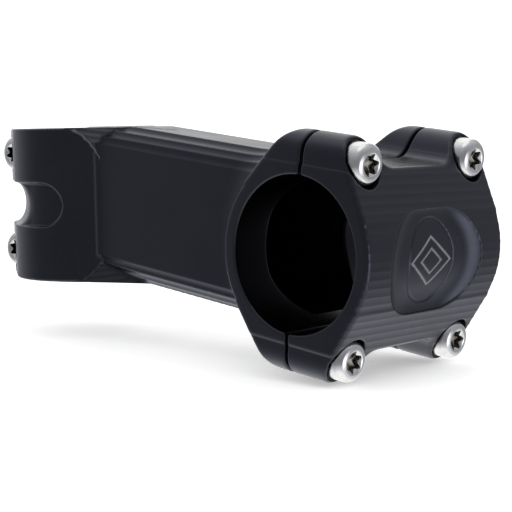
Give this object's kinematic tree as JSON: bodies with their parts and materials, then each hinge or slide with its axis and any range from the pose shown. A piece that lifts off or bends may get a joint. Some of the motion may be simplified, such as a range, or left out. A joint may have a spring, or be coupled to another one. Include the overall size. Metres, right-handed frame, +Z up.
{
  "type": "handlebar stem",
  "caption": "Bicycle handlebar stem machined from billet: a split steerer clamp, a hollow boxed extension and a bar clamp closed by a bolted faceplate.",
  "frame": {"origin": "on the steerer axis at the middle of the steerer clamp's height", "axes": "+Z up along the steerer axis, +X forward towards the handlebar, +Y along the handlebar to the rider's left"},
  "size_m": [0.1335, 0.045, 0.0522],
  "materials": {
    "black_anodised": "black satin anodised, fine machining marks",
    "bolt_steel": "bright polished"
  },
  "bodies": {
    "stem": {"stem_body": "black_anodised"},
    "faceplate": {"faceplate": "black_anodised"},
    "face_bolt_tl": {"face_bolt_tl": "bolt_steel"},
    "face_bolt_tr": {"face_bolt_tr": "bolt_steel"},
    "face_bolt_bl": {"face_bolt_bl": "bolt_steel"},
    "face_bolt_br": {"face_bolt_br": "bolt_steel"},
    "pinch_bolt_top": {"pinch_bolt_top": "bolt_steel"},
    "pinch_bolt_bottom": {"pinch_bolt_bottom": "bolt_steel"}
  },
  "joints": [
    {"name": "faceplate_off", "type": "slide", "parent": "stem", "child": "faceplate", "axis": [0.9925, 0, -0.1219], "range_m": [0, 0.04]},
    {"name": "face_bolt_tl_out", "type": "slide", "parent": "faceplate", "child": "face_bolt_tl", "axis": [0.9925, 0, -0.1219], "range_m": [0, 0.02]},
    {"name": "face_bolt_tr_out", "type": "slide", "parent": "faceplate", "child": "face_bolt_tr", "axis": [0.9925, 0, -0.1219], "range_m": [0, 0.02]},
    {"name": "face_bolt_bl_out", "type": "slide", "parent": "faceplate", "child": "face_bolt_bl", "axis": [0.9925, 0, -0.1219], "range_m": [0, 0.02]},
    {"name": "face_bolt_br_out", "type": "slide", "parent": "faceplate", "child": "face_bolt_br", "axis": [0.9925, 0, -0.1219], "range_m": [0, 0.02]},
    {"name": "pinch_bolt_top_out", "type": "slide", "parent": "stem", "child": "pinch_bolt_top", "axis": [0, -1, 0], "range_m": [0, 0.02]},
    {"name": "pinch_bolt_bottom_out", "type": "slide", "parent": "stem", "child": "pinch_bolt_bottom", "axis": [0, -1, 0], "range_m": [0, 0.02]}
  ]
}
